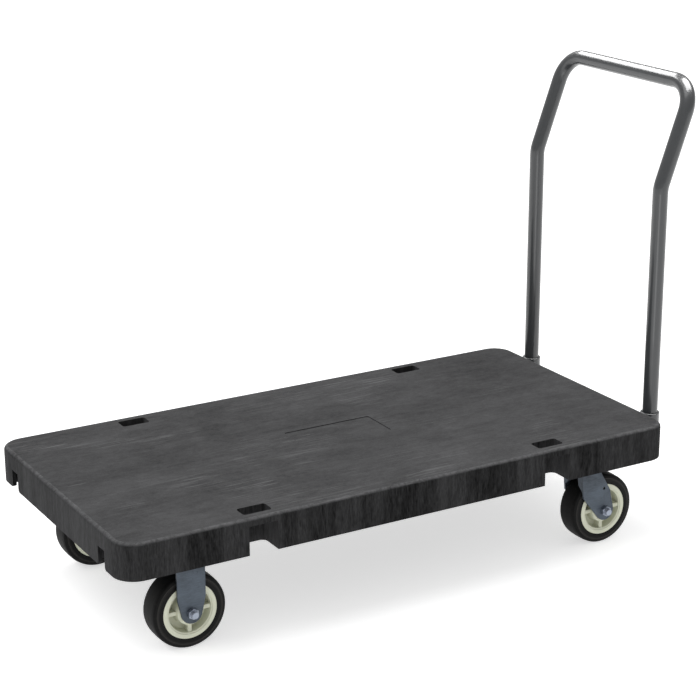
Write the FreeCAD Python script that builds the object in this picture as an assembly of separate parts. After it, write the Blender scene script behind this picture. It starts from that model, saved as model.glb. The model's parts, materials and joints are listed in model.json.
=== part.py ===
import FreeCAD, Part
import math
import os

# Platform cart: a moulded resin deck on two steel rails, two rigid casters at one end, two swivel
# casters and a lift-out tube handle at the other.
#
# Frame: +X runs along the deck towards the handle, +Y to the left of that, +Z up.  The origin is on
# the floor, at the middle of the cart's overall length and width.  All sizes are in millimetres.

Vector = FreeCAD.Vector

# How far a cutting tool runs past the face it cuts, and how close two heights count as the same.
overshoot = 1.0
same_height = 0.01

# ---------------------------------------------------------------- overall sizes
deck_length = 1219.2
deck_width = 609.6
deck_depth = 72.0
caster_inset = 160.1
caster_side_inset = 92.1

# ---------------------------------------------------------------- deck moulding
deck_corner_radius = 45.0
deck_edge_radius = 9.0
deck_plate = 8.0
skirt_wall = 8.0
rib_wall = 5.0
middle_bays = 5

slot_length = 59.0
slot_width = 32.0
slot_corner_radius = 6.0
slot_inset = 38.0
slot_end_inset = 281.0
pocket_roof = 15.0
pocket_wall = 6.0
pocket_corner_radius = 12.0

label_length = 198.0
label_width = 95.0
label_depth = 1.5
label_corner_radius = 6.0
label_shift = 4.5

notch_corner_radius = 6.0

# ---------------------------------------------------------------- steel rails and handle sockets
rail_width = 25.0
rail_height = 36.5
rail_wall = 2.0
rail_side_clearance = 2.0
rail_top_clearance = 0.5
rail_recess = 25.0
rail_edge_radius = 3.0

tube_diameter = 31.75
tube_wall = 2.1
socket_wall = 3.7
socket_clearance = 0.4
socket_stand_off = 2.2
socket_drop = 5.0
socket_floor = 5.0
drain_hole_radius = 4.0
socket_rim_radius = 1.5

# ---------------------------------------------------------------- handle
leg_height = 472.8
lean_degrees = 20.0
lean_length = 216.0
leg_bend_radius = 60.0
corner_bend_radius = 57.0

# ---------------------------------------------------------------- caster plates and their fasteners
plate_length = 114.0
plate_width = 102.0
plate_thickness = 6.0
plate_corner_radius = 8.0
bolt_spacing_x = 92.0
bolt_spacing_y = 76.0
bolt_radius = 5.0
bolt_grip = 18.0
bolt_head_flats = 16.0
bolt_head_height = 6.4
bolt_clearance = 0.5
thread_gap = 0.05
washer_radius = 10.5
washer_thickness = 2.0
insert_radius = 7.0
insert_length = 20.0
insert_spare_depth = 2.0
boss_wall = 5.0

# ---------------------------------------------------------------- wheels
wheel_diameter = 150.0
wheel_headroom = 41.0
tyre_width = 50.8
tyre_side_gap = 3.6
tyre_shoulder_radius = 12.0
rim_radius = 54.6
rim_face_set_back = 0.2
rim_groove_depth = 4.6
rim_flange_width = 6.2
rim_groove_slope = 4.0
rim_wall = 11.6
core_draft = 2.0
web_thickness = 12.0
boss_radius = 26.0
boss_draft = 3.0
hub_end_gap = 1.2
hub_rib_width = 10.0
hub_rib_count = 4
hub_rib_set_back = 4.0

# ---------------------------------------------------------------- axles and roller bearings
axle_radius = 6.35
axle_head_flats = 19.0
axle_head_height = 8.0
axle_nut_height = 11.0
axle_stub = 4.0
bushing_radius = 9.5
roller_radius = 2.4
roller_count = 12
cage_end_wall = 3.5
running_gap = 0.1
cage_end_gap = 1.8
cage_wall = 3.6
cage_pocket_gap = 0.15

# ---------------------------------------------------------------- fork metal
fork_thickness = 4.5
fork_end_radius = 21.2
fork_hole_clearance = 0.15
rigid_fork_width = 57.2
rigid_shoulder_rise = 30.0
fork_bend_radius = 9.0

# ---------------------------------------------------------------- swivel casters
swivel_offset = 48.0
swivel_front_top = 14.0
swivel_front_shoulder_x = 8.0
swivel_front_shoulder_rise = 37.0
swivel_back_top = 25.0
swivel_back_shoulder_x = 59.5
swivel_back_shoulder_rise = 44.5
swivel_web_thickness = 4.0
swivel_arch_drop = 24.7
swivel_arch_foot_drop = 53.7
crown_radius = 38.0
crown_thickness = 5.0
kingpin_radius = 8.0
kingpin_gap = 0.3
kingpin_stub = 2.0
kingpin_nut_flats = 24.0
kingpin_nut_height = 10.0
race_gap = 0.3
upper_ball_radius = 4.5
upper_race_radius = 28.0
upper_ball_count = 16
upper_groove_depth = 1.5
lower_ball_radius = 3.0
lower_race_radius = 13.5
lower_ball_count = 12
lower_groove_depth = 1.0
race_cup_radius = 19.0
race_cup_thickness = 4.0
race_cup_clearance = 1.0
fork_hole_radius = 3.0
fork_hole_x = 44.0
fork_hole_rise = 50.0

# ---------------------------------------------------------------- places worked out from the sizes
half_length = deck_length / 2
half_width = deck_width / 2
half_track = half_width - caster_side_inset
caster_height = wheel_diameter + wheel_headroom
deck_top = caster_height + deck_depth
plate_under = deck_top - deck_plate
axle_height = wheel_diameter / 2
tube_radius = tube_diameter / 2
socket_bore = tube_radius + socket_clearance
socket_radius = socket_bore + socket_wall
lean = math.radians(lean_degrees)

# Along the length, distances are first taken from the middle of the deck; deck_x then moves the
# whole cart so that the origin is at the middle of its overall length.
leg_from_deck_middle = half_length + socket_stand_off + socket_radius
bar_from_deck_middle = leg_from_deck_middle + lean_length * math.sin(lean)
deck_x = (half_length - bar_from_deck_middle - tube_radius) / 2
leg_x = deck_x + leg_from_deck_middle
bar_x = deck_x + bar_from_deck_middle
bar_z = deck_top + leg_height + lean_length * math.cos(lean)

rigid_x = deck_x - half_length + caster_inset
swivel_x = deck_x + half_length - caster_inset
slot_x = half_length - slot_end_inset
slot_y = half_width - slot_inset
pocket_depth = slot_inset + slot_width / 2
tunnel_width = rail_width + 2 * rail_side_clearance
tunnel_height = rail_height + rail_top_clearance
plate_bottom = caster_height - plate_thickness
bushing_length = tyre_width + 2 * tyre_side_gap
hub_length = bushing_length - 2 * hub_end_gap
cage_length = hub_length - 2 * cage_end_gap
roller_length = cage_length - 2 * cage_end_wall
fork_half_gap = bushing_length / 2
fork_half_width = fork_half_gap + fork_thickness
roller_pitch_radius = bushing_radius + running_gap + roller_radius
hub_bore = roller_pitch_radius + roller_radius + running_gap

upper_ball_z = plate_bottom + upper_groove_depth - race_gap - upper_ball_radius
crown_top = upper_ball_z - upper_ball_radius + upper_groove_depth
crown_bottom = crown_top - crown_thickness
lower_ball_z = crown_bottom + lower_groove_depth - lower_ball_radius
race_cup_top = lower_ball_z - lower_ball_radius - race_gap + lower_groove_depth
race_cup_bottom = race_cup_top - race_cup_thickness
kingpin_nut_bottom = race_cup_bottom - kingpin_nut_height
swivel_arch_height = crown_top - swivel_arch_drop
swivel_arch_foot = crown_top - swivel_arch_foot_drop

SIDES = {"left": 1, "right": -1}
AXIS_Y = Vector(0, 1, 0)
AXIS_Z = Vector(0, 0, 1)


# ---------------------------------------------------------------- shape helpers
def block(x_low, x_high, y_low, y_high, z_low, z_high):
    """A box between two corners."""
    corner = Vector(x_low, y_low, z_low)
    return Part.makeBox(x_high - x_low, y_high - y_low, z_high - z_low, corner)


def rod(radius, start, end):
    """A round bar between two points."""
    run = end - start
    return Part.makeCylinder(radius, run.Length, start, run)


def ring(outer, inner, start, end):
    """A round tube between two points."""
    return rod(outer, start, end).cut(rod(inner, start, end))


def polygon(points):
    """A flat face inside straight edges."""
    return Part.Face(Part.makePolygon(points + points[:1]))


def hex_prism(flats, start, end):
    """A hexagonal bar; two of its corners point along the world X axis, or Y for a bar along X."""
    run = end - start
    sideways = Vector(1, 0, 0)
    other = run.cross(sideways).normalize()
    reach = flats / math.sqrt(3)
    corners = []
    for step in range(6):
        angle = math.radians(60 * step)
        corners.append(start + sideways * (reach * math.cos(angle)) + other * (reach * math.sin(angle)))
    return polygon(corners).extrude(run)


def rounded_slab(length, width, radius, centre_x, centre_y, z_low, z_high):
    """An upright prism on a rectangle with round corners."""
    slab = block(-length / 2, length / 2, -width / 2, width / 2, z_low, z_high)
    slab.translate(Vector(centre_x, centre_y, 0))
    upright = [edge for edge in slab.Edges if edge.BoundBox.ZLength > (z_high - z_low) / 2]
    return slab.makeFillet(radius, upright)


def turned(profile, centre):
    """A solid turned about the Y axis from (radius, y) points; a pair of points in a nested tuple
    is the middle and end of an arc."""
    edges = []
    here = profile[0]
    for entry in profile[1:] + profile[:1]:
        if isinstance(entry[0], tuple):
            middle, entry = entry
            stops = [Vector(radius, y, 0) for radius, y in (here, middle, entry)]
            edges.append(Part.Arc(*stops).toShape())
        else:
            edges.append(Part.makeLine(Vector(here[0], here[1], 0), Vector(entry[0], entry[1], 0)))
        here = entry
    solid = Part.Face(Part.Wire(edges)).revolve(Vector(0, 0, 0), AXIS_Y, 360)
    solid.translate(centre)
    return solid


def tangent_point(point, centre, radius, side):
    """Where a straight edge from point touches a circle; side is 1 or -1, for its two sides."""
    away_x = point[0] - centre[0]
    away_z = point[1] - centre[1]
    angle = math.atan2(away_z, away_x) + side * math.acos(radius / math.hypot(away_x, away_z))
    return (centre[0] + radius * math.cos(angle), centre[1] + radius * math.sin(angle))


def fork_leg(front, back, tops, axle, y_low, y_high):
    """A fork leg: straight from its top corners to a shoulder on each edge, then down to a round end
    at the axle.  front and back are the (x, z) shoulders, tops the two top corners, front first, and
    axle the centre of the round end."""
    front_touch = tangent_point(front, axle, fork_end_radius, 1)
    back_touch = tangent_point(back, axle, fork_end_radius, -1)
    lowest = (axle[0], axle[1] - fork_end_radius)

    def place(spot):
        return Vector(spot[0], y_low, spot[1])

    corners = [back_touch, back, tops[1], tops[0], front, front_touch]
    edges = [Part.makeLine(place(a), place(b)) for a, b in zip(corners, corners[1:])]
    edges.append(Part.Arc(place(front_touch), place(lowest), place(back_touch)).toShape())
    return Part.Face(Part.Wire(edges)).extrude(Vector(0, y_high - y_low, 0))


def ball_ring(ball_radius, pitch_radius, count, x, y, z):
    """Separate balls, evenly spaced round a vertical axis."""
    balls = []
    for step in range(count):
        angle = 2 * math.pi * step / count
        spot = Vector(x + pitch_radius * math.cos(angle), y + pitch_radius * math.sin(angle), z)
        balls.append(Part.makeSphere(ball_radius, spot))
    return Part.makeCompound(balls)


def bolt_places(x, y):
    """The four bolt centres of a caster plate."""
    across = (-bolt_spacing_x / 2, bolt_spacing_x / 2)
    along = (-bolt_spacing_y / 2, bolt_spacing_y / 2)
    return [(x + dx, y + dy) for dx in across for dy in along]


def caster_places():
    """The centres of the four caster plates."""
    return [(x, side * half_track) for x in (rigid_x, swivel_x) for side in SIDES.values()]


def fastener_places():
    """The centres of all sixteen caster bolts."""
    return [spot for x, y in caster_places() for spot in bolt_places(x, y)]


# ---------------------------------------------------------------- deck
def notch_cutter(y):
    """The opening in the end skirt for a rail, with its two lower corners rounded off."""
    side = tunnel_width / 2
    flare = side + notch_corner_radius
    rise = caster_height + notch_corner_radius
    roof = caster_height + tunnel_height
    below = caster_height - overshoot
    slant = notch_corner_radius * math.sqrt(0.5)
    start = deck_x - half_length - overshoot

    def place(offset, z):
        return Vector(start, y + offset, z)

    corner = [(-flare, below), (-flare, caster_height)]
    left_arc = [place(-flare, caster_height), place(-flare + slant, rise - slant), place(-side, rise)]
    right_arc = [place(side, rise), place(flare - slant, rise - slant), place(flare, caster_height)]
    edges = [Part.makeLine(place(*corner[0]), place(*corner[1]))]
    edges.append(Part.Arc(*left_arc).toShape())
    edges.append(Part.makeLine(place(-side, rise), place(-side, roof)))
    edges.append(Part.makeLine(place(-side, roof), place(side, roof)))
    edges.append(Part.makeLine(place(side, roof), place(side, rise)))
    edges.append(Part.Arc(*right_arc).toShape())
    edges.append(Part.makeLine(place(flare, caster_height), place(flare, below)))
    edges.append(Part.makeLine(place(flare, below), place(-flare, below)))
    return Part.Face(Part.Wire(edges)).extrude(Vector(deck_length + 2 * overshoot, 0, 0))


def rib_places():
    """Where ribs run across and along: through the bolt bosses, beside the pockets and between."""
    pocket_side = slot_length / 2 + pocket_wall / 2
    inner = slot_x - pocket_side
    across = [deck_x + inner * (2 * step / middle_bays - 1) for step in range(middle_bays + 1)]
    for x in (rigid_x, swivel_x):
        across += [x - bolt_spacing_x / 2, x + bolt_spacing_x / 2]
    across += [deck_x - slot_x - pocket_side, deck_x + slot_x + pocket_side]
    along = [0.0]
    for side in SIDES.values():
        inner_line = half_track - bolt_spacing_y / 2
        along += [side * inner_line / 2, side * inner_line, side * (half_track + bolt_spacing_y / 2)]
    return across, along


def slot_places():
    """Each strap slot's place along the deck, with the side it is on."""
    return [(x, side) for x in (deck_x - slot_x, deck_x + slot_x) for side in SIDES.values()]


def deck_hollow():
    """The space under the top plate and inside the skirt, before anything stands in it."""
    return rounded_slab(
        deck_length - 2 * skirt_wall,
        deck_width - 2 * skirt_wall,
        deck_corner_radius - skirt_wall,
        deck_x,
        0,
        caster_height,
        plate_under,
    )


def pocket_blocks():
    """The solid blocks at the skirt that the pockets are cut in."""
    blocks = []
    half = slot_length / 2 + pocket_wall
    reach = half_width - pocket_depth - pocket_wall
    for x, side in slot_places():
        low_y, high_y = sorted((side * reach, side * half_width))
        blocks.append(block(x - half, x + half, low_y, high_y, caster_height, plate_under))
    return blocks


def deck_openings():
    """What is cut away from the deck: pockets, slots, insert holes, rail tunnels, label recess."""
    tools = []
    for x, side in slot_places():
        tools.append(rounded_slab(slot_length, 2 * pocket_depth, pocket_corner_radius, x,
                                  side * half_width, caster_height - overshoot, deck_top - pocket_roof))
        tools.append(rounded_slab(slot_length, slot_width, slot_corner_radius, x,
                                  side * slot_y, deck_top - pocket_roof - overshoot,
                                  deck_top + overshoot))
    for x, y in fastener_places():
        top = caster_height + insert_length + insert_spare_depth
        tools.append(rod(insert_radius, Vector(x, y, caster_height - overshoot), Vector(x, y, top)))
    for side in SIDES.values():
        tools.append(notch_cutter(side * half_track))
    tools.append(rounded_slab(label_length, label_width, label_corner_radius, deck_x + label_shift,
                              label_shift, deck_top - label_depth, deck_top + overshoot))
    return tools


def make_deck():
    """The moulded deck: top plate, skirt, and a through slot over each pocket."""
    body = rounded_slab(deck_length, deck_width, deck_corner_radius, deck_x, 0, caster_height, deck_top)
    rim = [edge for edge in body.Edges if edge.BoundBox.ZMin > deck_top - same_height]
    body = body.makeFillet(deck_edge_radius, rim)
    return body.cut(deck_hollow().cut(pocket_blocks())).cut(deck_openings())


def make_deck_ribs():
    """The grid of ribs inside the deck, with the bosses that the caster bolts screw into."""
    across, along = rib_places()
    ribs = []
    for x in across:
        ribs.append(block(x - rib_wall / 2, x + rib_wall / 2, -half_width, half_width,
                          caster_height, plate_under))
    for y in along:
        ribs.append(block(deck_x - half_length, deck_x + half_length, y - rib_wall / 2,
                          y + rib_wall / 2, caster_height, plate_under))
    for x, y in fastener_places():
        low = Vector(x, y, caster_height)
        ribs.append(rod(insert_radius + boss_wall, low, Vector(x, y, plate_under)))
    grid = ribs[0].fuse(ribs[1:]).common(deck_hollow())
    return grid.cut(pocket_blocks() + deck_openings()).removeSplitter()


# ---------------------------------------------------------------- rails and sockets
def make_rail(side):
    """A rectangular steel tube under the deck, coped round the handle socket it is welded to."""
    y = side * half_track
    start = deck_x - half_length + rail_recess
    top = caster_height + rail_height
    outer = block(start, leg_x, y - rail_width / 2, y + rail_width / 2, caster_height, top)
    long_edges = [edge for edge in outer.Edges if edge.BoundBox.XLength > deck_length / 2]
    outer = outer.makeFillet(rail_edge_radius, long_edges)
    inner_y = rail_width / 2 - rail_wall
    inner = block(start - overshoot, leg_x + overshoot, y - inner_y, y + inner_y,
                  caster_height + rail_wall, top - rail_wall)
    cope = rod(socket_radius, Vector(leg_x, y, caster_height - overshoot), Vector(leg_x, y, top + overshoot))
    return outer.cut([inner, cope])


def make_socket(side):
    """The steel sleeve that a handle leg drops into."""
    y = side * half_track
    low = Vector(leg_x, y, caster_height)
    high = Vector(leg_x, y, deck_top - socket_drop)
    sleeve = rod(socket_radius, low, high)
    rim = [edge for edge in sleeve.Edges if edge.BoundBox.ZMin > high.z - same_height]
    return sleeve.makeFillet(socket_rim_radius, rim).cut(rod(socket_bore, low, high))


def make_socket_floor(side):
    """The disc that closes the socket and carries the leg, with a drain hole."""
    y = side * half_track
    low = Vector(leg_x, y, caster_height)
    return ring(socket_bore, drain_hole_radius, low, low + AXIS_Z * socket_floor)


# ---------------------------------------------------------------- handle
def handle_path():
    """The middle line of the handle tube: two upright legs that lean out and meet in a top bar."""
    up = AXIS_Z
    out = Vector(math.sin(lean), 0, math.cos(lean))
    foot = Vector(leg_x, half_track, caster_height + socket_floor)
    knee = Vector(leg_x, half_track, deck_top + leg_height)
    corner = Vector(bar_x, half_track, bar_z)
    knee_cut = leg_bend_radius * math.tan(lean / 2)
    inward = Vector(0, -1, 0)
    knee_side = Vector(1, 0, 0) * math.cos(lean / 2) - up * math.sin(lean / 2)
    knee_gap = leg_bend_radius / math.cos(lean / 2) - leg_bend_radius
    corner_gap = corner_bend_radius * (math.sqrt(2) - 1)
    corner_side = (inward - out).normalize()

    return [
        foot,
        knee - up * knee_cut,
        knee + knee_side * knee_gap,
        knee + out * knee_cut,
        corner - out * corner_bend_radius,
        corner + corner_side * corner_gap,
        corner + inward * corner_bend_radius,
    ]


def make_handle():
    """The bent handle tube, in one piece from foot to foot."""
    near = handle_path()
    far = [Vector(stop.x, -stop.y, stop.z) for stop in near]
    edges = [
        Part.makeLine(near[0], near[1]),
        Part.Arc(near[1], near[2], near[3]).toShape(),
        Part.makeLine(near[3], near[4]),
        Part.Arc(near[4], near[5], near[6]).toShape(),
        Part.makeLine(near[6], far[6]),
        Part.Arc(far[6], far[5], far[4]).toShape(),
        Part.makeLine(far[4], far[3]),
        Part.Arc(far[3], far[2], far[1]).toShape(),
        Part.makeLine(far[1], far[0]),
    ]
    path = Part.Wire(edges)
    outline = Part.Wire(Part.makeCircle(tube_radius, near[0], AXIS_Z))
    bore = Part.Wire(Part.makeCircle(tube_radius - tube_wall, near[0], AXIS_Z))
    outer = path.makePipeShell([outline], True, False)
    inner = path.makePipeShell([bore], True, False)
    return outer.cut(inner)


# ---------------------------------------------------------------- caster plates and fasteners
def make_plate(x, y):
    """A flat caster plate with four bolt holes."""
    plate = rounded_slab(plate_length, plate_width, plate_corner_radius, x, y, plate_bottom, caster_height)
    holes = []
    for hole_x, hole_y in bolt_places(x, y):
        low = Vector(hole_x, hole_y, plate_bottom - overshoot)
        high = Vector(hole_x, hole_y, caster_height + overshoot)
        holes.append(rod(bolt_radius + bolt_clearance, low, high))
    return plate.cut(holes)


def make_caster_bolts():
    """Hexagon-head bolts, one through each plate hole into its threaded insert."""
    bolts = []
    head_top = plate_bottom - washer_thickness
    for x, y in fastener_places():
        head = hex_prism(bolt_head_flats, Vector(x, y, head_top - bolt_head_height), Vector(x, y, head_top))
        shank = rod(bolt_radius - thread_gap, Vector(x, y, head_top), Vector(x, y, caster_height + bolt_grip))
        bolts.append(head.fuse(shank))
    return Part.makeCompound(bolts)


def make_caster_washers():
    """Plain washers under the caster bolt heads."""
    washers = []
    for x, y in fastener_places():
        low = Vector(x, y, plate_bottom - washer_thickness)
        washers.append(ring(washer_radius, bolt_radius + thread_gap, low, Vector(x, y, plate_bottom)))
    return Part.makeCompound(washers)


def make_inserts():
    """Threaded metal inserts moulded into the deck's bosses."""
    inserts = []
    for x, y in fastener_places():
        low = Vector(x, y, caster_height)
        inserts.append(ring(insert_radius, bolt_radius, low, low + AXIS_Z * insert_length))
    return Part.makeCompound(inserts)


# ---------------------------------------------------------------- wheels and axles
def make_tyre(centre):
    """A solid rubber tyre with round shoulders, keyed onto the groove of the wheel core."""
    side = tyre_width / 2
    tread = wheel_diameter / 2
    shoulder = tyre_shoulder_radius
    slant = shoulder * math.sqrt(0.5)
    flange = side - rim_face_set_back - rim_flange_width
    groove = rim_radius - rim_groove_depth
    left_middle = (tread - shoulder + slant, -side + shoulder - slant)
    right_middle = (tread - shoulder + slant, side - shoulder + slant)
    profile = [
        (rim_radius, -side), (tread - shoulder, -side), (left_middle, (tread, -side + shoulder)),
        (tread, side - shoulder), (right_middle, (tread - shoulder, side)), (rim_radius, side),
        (rim_radius, flange), (groove, flange - rim_groove_slope),
        (groove, rim_groove_slope - flange), (rim_radius, -flange),
    ]
    return turned(profile, centre)


def make_core(centre):
    """The moulded wheel core: rim, web, hub and ribs, with a bore for the roller bearing."""
    face = tyre_width / 2 - rim_face_set_back
    flange = face - rim_flange_width
    groove = rim_radius - rim_groove_depth
    rim_inside = rim_radius - rim_wall
    web = web_thickness / 2
    hub = hub_length / 2
    hub_root = boss_radius + boss_draft
    half = [
        (boss_radius, -hub), (hub_root, -web), (rim_inside - core_draft, -web), (rim_inside, -face),
        (rim_radius, -face), (rim_radius, -flange), (groove, rim_groove_slope - flange),
    ]
    profile = [(hub_bore, -hub)] + half + [(radius, -y) for radius, y in reversed(half)]
    profile.append((hub_bore, hub))
    core = turned(profile, Vector(0, 0, 0))
    ribs = []
    rib_top = face - hub_rib_set_back
    for step in range(hub_rib_count):
        rib = block(boss_radius, rim_inside, -rib_top, rib_top, -hub_rib_width / 2, hub_rib_width / 2)
        rib.rotate(Vector(0, 0, 0), AXIS_Y, 360 * step / hub_rib_count)
        ribs.append(rib)
    core = core.fuse(ribs).removeSplitter()
    core.translate(centre)
    return core


def roller_centres(centre):
    """The middle of each bearing roller."""
    spots = []
    for step in range(roller_count):
        angle = 2 * math.pi * step / roller_count
        across = Vector(math.cos(angle), 0, math.sin(angle))
        spots.append(centre + across * roller_pitch_radius)
    return spots


def make_rollers(centre):
    """The bearing's separate steel rollers."""
    half = AXIS_Y * (roller_length / 2)
    return Part.makeCompound([rod(roller_radius, spot - half, spot + half) for spot in roller_centres(centre)])


def make_cage(centre):
    """The roller cage: a sleeve with a window for each roller."""
    half = AXIS_Y * (cage_length / 2)
    window = AXIS_Y * (roller_length / 2 + cage_pocket_gap)
    outer = roller_pitch_radius + cage_wall / 2
    inner = roller_pitch_radius - cage_wall / 2
    cage = ring(outer, inner, centre - half, centre + half)
    pockets = []
    for spot in roller_centres(centre):
        pockets.append(rod(roller_radius + cage_pocket_gap, spot - window, spot + window))
    return cage.cut(pockets)


def make_bushing(centre):
    """The steel spacer that the fork clamps and the rollers run on."""
    half = AXIS_Y * (bushing_length / 2)
    return ring(bushing_radius, axle_radius + thread_gap, centre - half, centre + half)


def make_axle_bolt(centre, side):
    """The axle bolt, with its head on the inner side of the cart."""
    outward = AXIS_Y * side
    seat = centre - outward * fork_half_width
    head = hex_prism(axle_head_flats, seat - outward * axle_head_height, seat)
    tip = centre + outward * (fork_half_width + axle_nut_height + axle_stub)
    return head.fuse(rod(axle_radius, seat, tip))


def make_axle_nut(centre, side):
    """The lock nut on the outer end of the axle bolt."""
    outward = AXIS_Y * side
    seat = centre + outward * fork_half_width
    end = seat + outward * axle_nut_height
    nut = hex_prism(axle_head_flats, seat, end)
    return nut.cut(rod(axle_radius + thread_gap, seat - outward, end + outward))


def axle_hole(centre):
    """The hole through both fork legs."""
    reach = AXIS_Y * (fork_half_width + overshoot)
    return rod(axle_radius + fork_hole_clearance, centre - reach, centre + reach)


# ---------------------------------------------------------------- rigid forks
def make_rigid_fork(centre):
    """The rigid fork: one strip bent into an upside-down U, welded under its plate."""
    front = centre.x - rigid_fork_width / 2
    back = centre.x + rigid_fork_width / 2
    low = centre.z - fork_end_radius - overshoot
    outer = block(front, back, centre.y - fork_half_width, centre.y + fork_half_width, low, plate_bottom)
    inner_top = plate_bottom - fork_thickness
    inner = block(front - overshoot, back + overshoot, centre.y - fork_half_gap,
                  centre.y + fork_half_gap, low - overshoot, inner_top)
    outer_bend = [edge for edge in outer.Edges if edge.BoundBox.ZMin > plate_bottom - same_height
                  and edge.BoundBox.XLength > fork_thickness]
    inner_bend = [edge for edge in inner.Edges if edge.BoundBox.ZMin > inner_top - same_height
                  and edge.BoundBox.XLength > fork_thickness]
    strip = outer.makeFillet(fork_bend_radius, outer_bend)
    strip = strip.cut(inner.makeFillet(fork_bend_radius - fork_thickness, inner_bend))
    tops = [(front, plate_bottom), (back, plate_bottom)]
    shoulder = centre.z + rigid_shoulder_rise
    outline = fork_leg((front, shoulder), (back, shoulder), tops,
                       (centre.x, centre.z), centre.y - fork_half_width, centre.y + fork_half_width)
    return strip.common(outline).cut(axle_hole(centre))


# ---------------------------------------------------------------- swivel casters
def make_swivel_plate(x, y):
    """The swivel plate with its forged kingpin and the upper ball groove."""
    plate = make_plate(x, y)
    pin = rod(kingpin_radius, Vector(x, y, kingpin_nut_bottom - kingpin_stub), Vector(x, y, plate_bottom))
    groove = Part.makeTorus(upper_race_radius, upper_ball_radius + race_gap, Vector(x, y, upper_ball_z))
    return plate.fuse(pin).cut(groove)


def make_swivel_fork(x, y):
    """The swivel fork: a crown with the two ball grooves, two swept legs and an arched front web."""
    axle = Vector(x + swivel_offset, y, axle_height)
    front = (x - swivel_front_shoulder_x, axle_height + swivel_front_shoulder_rise)
    back = (x + swivel_back_shoulder_x, axle_height + swivel_back_shoulder_rise)
    tops = [(x - swivel_front_top, crown_top), (x + swivel_back_top, crown_top)]
    spot = Vector(x, y, 0)
    pieces = []
    for low, high in ((-fork_half_width, -fork_half_gap), (fork_half_gap, fork_half_width)):
        pieces.append(fork_leg(front, back, tops, (axle.x, axle.z), y + low, y + high))
    pieces.append(block(x - swivel_front_top, x + swivel_back_top, y - fork_half_width,
                        y + fork_half_width, crown_bottom, crown_top))

    arch_slope = (swivel_arch_height - swivel_arch_foot) / fork_half_gap
    arch_end = swivel_arch_height - arch_slope * fork_half_width
    front_slope = (tops[0][0] - front[0]) / (crown_top - front[1])
    arch = [(-fork_half_width, crown_top), (-fork_half_width, arch_end), (0, swivel_arch_height),
            (fork_half_width, arch_end), (fork_half_width, crown_top)]
    corners = [Vector(front[0] + front_slope * (z - front[1]), y + across, z) for across, z in arch]
    pieces.append(polygon(corners).extrude(Vector(swivel_web_thickness, 0, 0)))
    crown = rod(crown_radius, spot + AXIS_Z * crown_bottom, spot + AXIS_Z * crown_top)
    fork = crown.fuse(pieces).removeSplitter()

    bore = rod(kingpin_radius + kingpin_gap, spot + AXIS_Z * (crown_bottom - overshoot),
               spot + AXIS_Z * (crown_top + overshoot))
    upper = Part.makeTorus(upper_race_radius, upper_ball_radius, spot + AXIS_Z * upper_ball_z)
    lower = Part.makeTorus(lower_race_radius, lower_ball_radius, spot + AXIS_Z * lower_ball_z)
    cup_room = rod(race_cup_radius + race_cup_clearance, spot + AXIS_Z * swivel_arch_foot,
                   spot + AXIS_Z * crown_bottom)
    hole = Vector(x + fork_hole_x, y, axle_height + fork_hole_rise)
    reach = AXIS_Y * (fork_half_width + overshoot)
    small = rod(fork_hole_radius, hole - reach, hole + reach)
    return fork.cut([bore, upper, lower, cup_room, small, axle_hole(axle)])


def make_race_cup(x, y):
    """The lower bearing cup, a washer with a ball groove in its top."""
    low = Vector(x, y, race_cup_bottom)
    cup = ring(race_cup_radius, kingpin_radius, low, Vector(x, y, race_cup_top))
    return cup.cut(Part.makeTorus(lower_race_radius, lower_ball_radius + race_gap, Vector(x, y, lower_ball_z)))


def make_kingpin_nut(x, y):
    """The nut that holds the lower bearing cup on the kingpin."""
    low = Vector(x, y, kingpin_nut_bottom)
    high = Vector(x, y, race_cup_bottom)
    return hex_prism(kingpin_nut_flats, low, high).cut(rod(kingpin_radius, low - AXIS_Z, high + AXIS_Z))


# ---------------------------------------------------------------- assembly
def wheel_nodes(name, centre, side):
    """The tyre, core, bearing and axle of one caster."""
    return {
        name + "_tyre": make_tyre(centre),
        name + "_wheel_core": make_core(centre),
        name + "_bearing_cage": make_cage(centre),
        name + "_bearing_rollers": make_rollers(centre),
        name + "_axle_bushing": make_bushing(centre),
        name + "_axle_bolt": make_axle_bolt(centre, side),
        name + "_axle_nut": make_axle_nut(centre, side),
    }


def all_nodes():
    """Every node's shape by name."""
    nodes = {
        "deck": make_deck(),
        "deck_ribs": make_deck_ribs(),
        "handle_tube": make_handle(),
        "caster_bolts": make_caster_bolts(),
        "caster_washers": make_caster_washers(),
        "threaded_inserts": make_inserts(),
    }
    for word, side in SIDES.items():
        y = side * half_track
        nodes["rail_" + word] = make_rail(side)
        nodes["handle_socket_" + word] = make_socket(side)
        nodes["socket_floor_" + word] = make_socket_floor(side)

        rigid = "rigid_" + word
        centre = Vector(rigid_x, y, axle_height)
        nodes[rigid + "_plate"] = make_plate(rigid_x, y)
        nodes[rigid + "_fork"] = make_rigid_fork(centre)
        nodes.update(wheel_nodes(rigid, centre, side))

        swivel = "swivel_" + word
        nodes[swivel + "_plate"] = make_swivel_plate(swivel_x, y)
        nodes[swivel + "_fork"] = make_swivel_fork(swivel_x, y)
        nodes[swivel + "_upper_balls"] = ball_ring(
            upper_ball_radius, upper_race_radius, upper_ball_count, swivel_x, y, upper_ball_z
        )
        nodes[swivel + "_lower_balls"] = ball_ring(
            lower_ball_radius, lower_race_radius, lower_ball_count, swivel_x, y, lower_ball_z
        )
        nodes[swivel + "_race_cup"] = make_race_cup(swivel_x, y)
        nodes[swivel + "_kingpin_nut"] = make_kingpin_nut(swivel_x, y)
        nodes.update(wheel_nodes(swivel, Vector(swivel_x + swivel_offset, y, axle_height), side))
    return nodes


os.makedirs("parts", exist_ok=True)
for node, shape in all_nodes().items():
    if not shape.isValid() or not shape.Solids:
        raise ValueError(node + " isn't a valid solid")
    shape.exportStep("parts/" + node + ".step")
    print(node, len(shape.Solids), "solid(s),", round(shape.Volume / 1000, 1), "cm3")
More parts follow.
